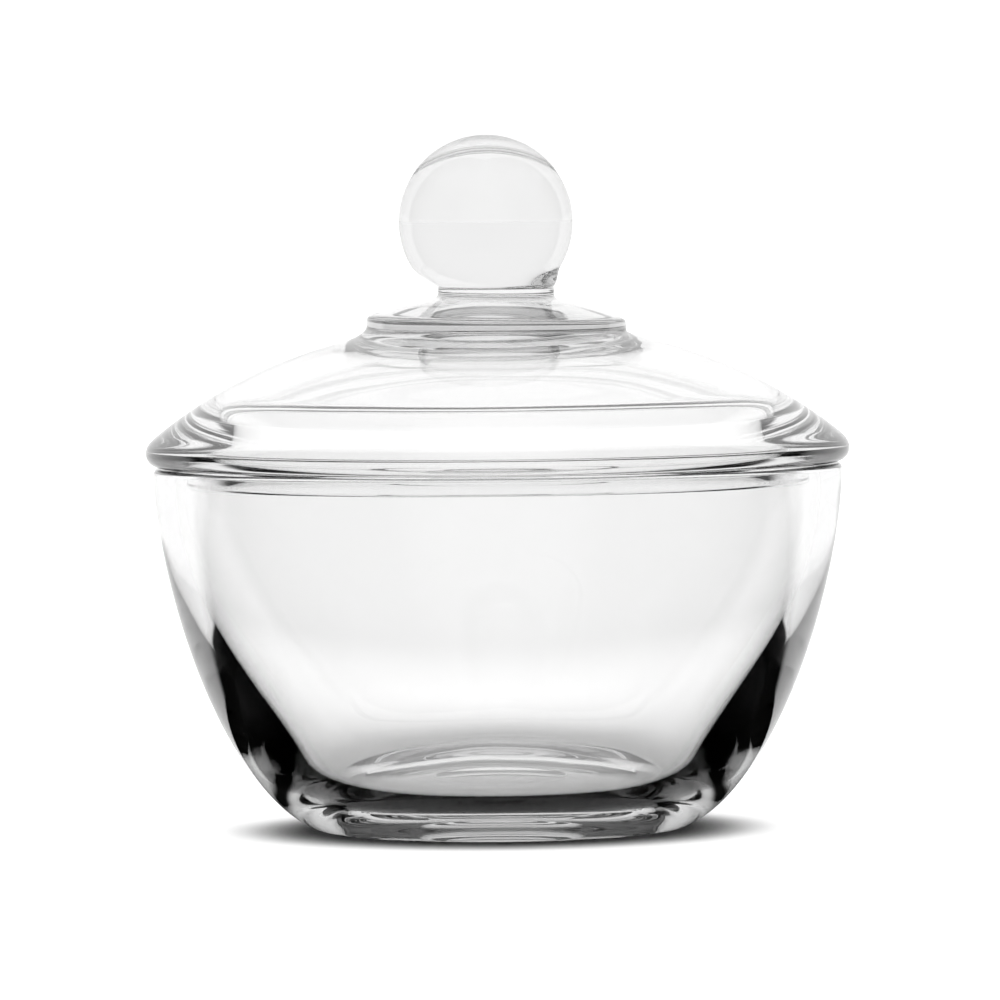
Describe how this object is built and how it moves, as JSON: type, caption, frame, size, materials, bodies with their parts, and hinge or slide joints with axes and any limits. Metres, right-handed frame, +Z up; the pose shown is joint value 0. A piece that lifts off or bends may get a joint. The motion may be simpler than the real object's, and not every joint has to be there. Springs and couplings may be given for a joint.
{
  "type": "covered bowl",
  "caption": "Covered bowl of clear pressed glass: a round tapered bowl on a thick base, closed by a loose domed lid with a stepped collar and a solid ball knob.",
  "frame": {"origin": "centre of the foot ring, on the surface the bowl stands on", "axes": "+Z up along the turning axis through the knob; +X to the right and +Y away from the viewer in the front view, with the ball standing slightly towards -X"},
  "size_m": [0.1102, 0.1102, 0.1088],
  "materials": {
    "bowl_glass": "clear colourless pressed glass, fire-polished, very slightly wavy",
    "lid_glass": "clear colourless pressed glass, fire-polished, faint turning marks on the dome"
  },
  "bodies": {
    "bowl": {"bowl": "bowl_glass"},
    "lid": {"lid": "lid_glass"}
  },
  "joints": [
    {"name": "lid_lift", "type": "slide", "parent": "bowl", "child": "lid", "axis": [0, 0, 1], "range_m": [0, 0.06]}
  ]
}
